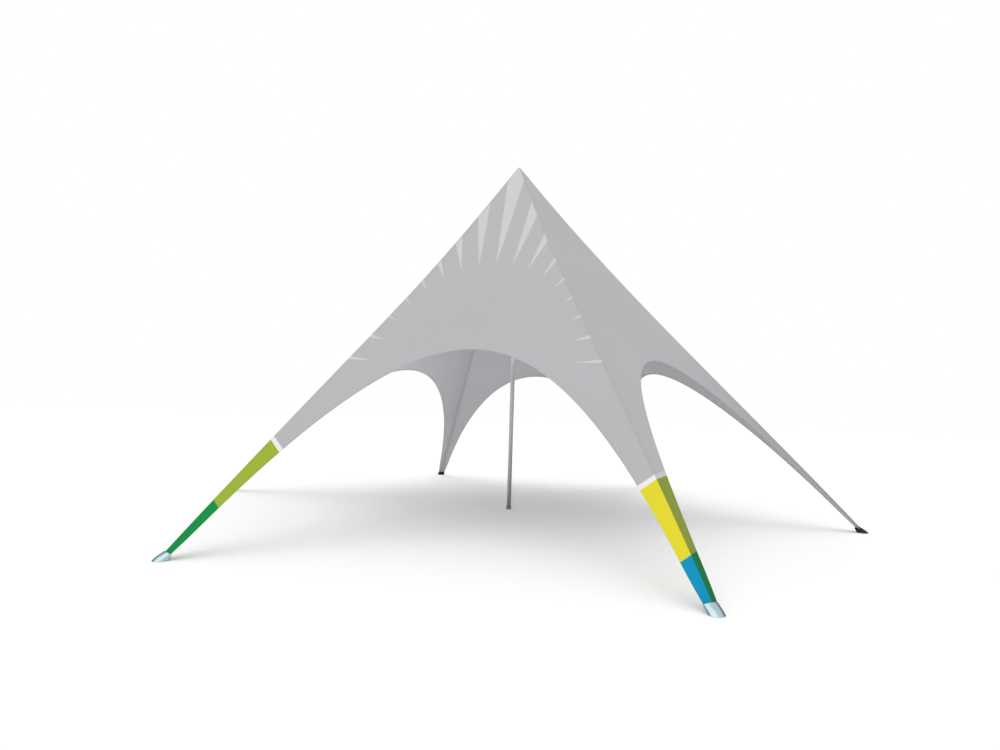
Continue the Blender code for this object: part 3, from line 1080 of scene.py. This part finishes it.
CAMERA_PLACE = (1.8152, -9.2533, 1.4944)
CAMERA_YAW = math.radians(12.32)         # to the left of straight ahead
CAMERA_PITCH = math.radians(3.549)
CAMERA_ROLL = math.radians(1.82)
CAMERA_LENS = 21.604
FLOOR_RADIUS = 120
KEY_LIGHT = ((-0.20, -0.35, 1.0), 0.35, math.radians(60))     # direction, energy and softness
FILL_LIGHT = ((-1.5, -0.6, 0.02), 2.8, 48)                    # place, diameter and power
SKY_EVEN = 0.93          # strength of the soft light from all round
SKY_FRONT = 0.18         # how much stronger it is from the front
SKY_FRONT_HEADING = (-0.15, -0.94, 0.30)
FLAG_DARK = 0.85         # how dark the studio's sides and far end are in reflections


def studio_light(sky):
    """White behind the object. The light is a little stronger from the front, and dark flags shape the gloss."""
    x, y, z = sky.split(sky.node("ShaderNodeTexCoord", output="Generated"))
    seen = sky.node("ShaderNodeLightPath", output="Is Camera Ray")
    gloss = sky.node("ShaderNodeLightPath", output="Is Glossy Ray")
    front_x, front_y, front_z = SKY_FRONT_HEADING
    light = SKY_EVEN + (x * front_x + y * front_y + z * front_z) * SKY_FRONT
    flag = y.clamped(-0.6, -0.1) * (1 - z.clamped(0.35, 0.6))
    light = light * (1 - flag * gloss * FLAG_DARK)
    return seen + light * (1 - seen)


class MARQUEE_OT_stage(bpy.types.Operator):
    """Set the pale floor, the soft light and the camera"""

    bl_idname = "marquee.stage"
    bl_label = "Stage"

    def execute(self, context):
        scene = context.scene
        bpy.ops.object.select_all(action="DESELECT")
        bpy.ops.mesh.primitive_circle_add(vertices=96, radius=FLOOR_RADIUS, fill_type="NGON", location=(0, 0, 0))
        floor = context.object
        floor.name = "studio_floor"
        floor.data.materials.append(floor_finish("Studio floor", scene.marquee_colours.floor))

        world = bpy.data.worlds.new("Studio")
        world.use_nodes = True
        sky = Nodes(world.node_tree)
        background = sky.tree.nodes["Background"]
        background.inputs["Color"].default_value = (1, 1, 1, 1)
        sky.fill(background.inputs["Strength"], studio_light(sky))
        scene.world = world

        direction, energy, softness = KEY_LIGHT
        lamp = bpy.data.lights.new("Key", "SUN")
        lamp.energy = energy
        lamp.angle = softness
        key = bpy.data.objects.new("Key", lamp)
        key.rotation_euler = Vector(direction).to_track_quat("Z", "Y").to_euler()
        scene.collection.objects.link(key)

        place, diameter, power = FILL_LIGHT
        glow = bpy.data.lights.new("Fill", "AREA")
        glow.shape = "DISK"
        glow.size = diameter
        glow.energy = power
        fill = bpy.data.objects.new("Fill", glow)
        fill.location = place
        fill.rotation_euler = (math.pi, 0, 0)
        fill.visible_camera = False
        fill.visible_glossy = False
        scene.collection.objects.link(fill)

        camera = bpy.data.objects.new("Camera", bpy.data.cameras.new("Camera"))
        camera.data.lens = CAMERA_LENS
        camera.data.clip_end = 500
        turn = (Matrix.Rotation(CAMERA_YAW, 4, "Z")
                @ Matrix.Rotation(math.pi / 2 + CAMERA_PITCH, 4, "X")
                @ Matrix.Rotation(CAMERA_ROLL, 4, "Z"))
        camera.matrix_world = Matrix.Translation(CAMERA_PLACE) @ turn
        scene.collection.objects.link(camera)
        scene.camera = camera
        scene.view_settings.view_transform = "Standard"
        return {"FINISHED"}


class MARQUEE_PT_panel(bpy.types.Panel):
    """Lists the marquee's sizes, colours and steps in the sidebar"""

    bl_idname = "MARQUEE_PT_panel"
    bl_label = "Star Marquee"
    bl_space_type = "VIEW_3D"
    bl_region_type = "UI"
    bl_category = "Marquee"

    def draw(self, context):
        for group in (context.scene.marquee_shape, context.scene.marquee_print, context.scene.marquee_colours):
            box = self.layout.box()
            for name in group.__annotations__:
                box.prop(group, name)
        for step in STEPS:
            self.layout.operator(step.bl_idname)


STEPS = (
    MARQUEE_OT_canopy, MARQUEE_OT_printed_legs, MARQUEE_OT_webbing, MARQUEE_OT_shoes,
    MARQUEE_OT_pole, MARQUEE_OT_screws, MARQUEE_OT_pole_ends, MARQUEE_OT_stage,
)
GROUPS = {"marquee_shape": MarqueeShape, "marquee_print": MarqueePrint, "marquee_colours": MarqueeColours}


def register():
    for kind in (*GROUPS.values(), *STEPS, MARQUEE_PT_panel):
        bpy.utils.register_class(kind)
    for name, kind in GROUPS.items():
        setattr(bpy.types.Scene, name, PointerProperty(type=kind))


def unregister():
    for name in GROUPS:
        delattr(bpy.types.Scene, name)
    for kind in (MARQUEE_PT_panel, *reversed(STEPS), *GROUPS.values()):
        bpy.utils.unregister_class(kind)


def main():
    register()
    for step in STEPS:
        group, name = step.bl_idname.split(".")
        getattr(getattr(bpy.ops, group), name)()


if __name__ == "__main__":
    main()
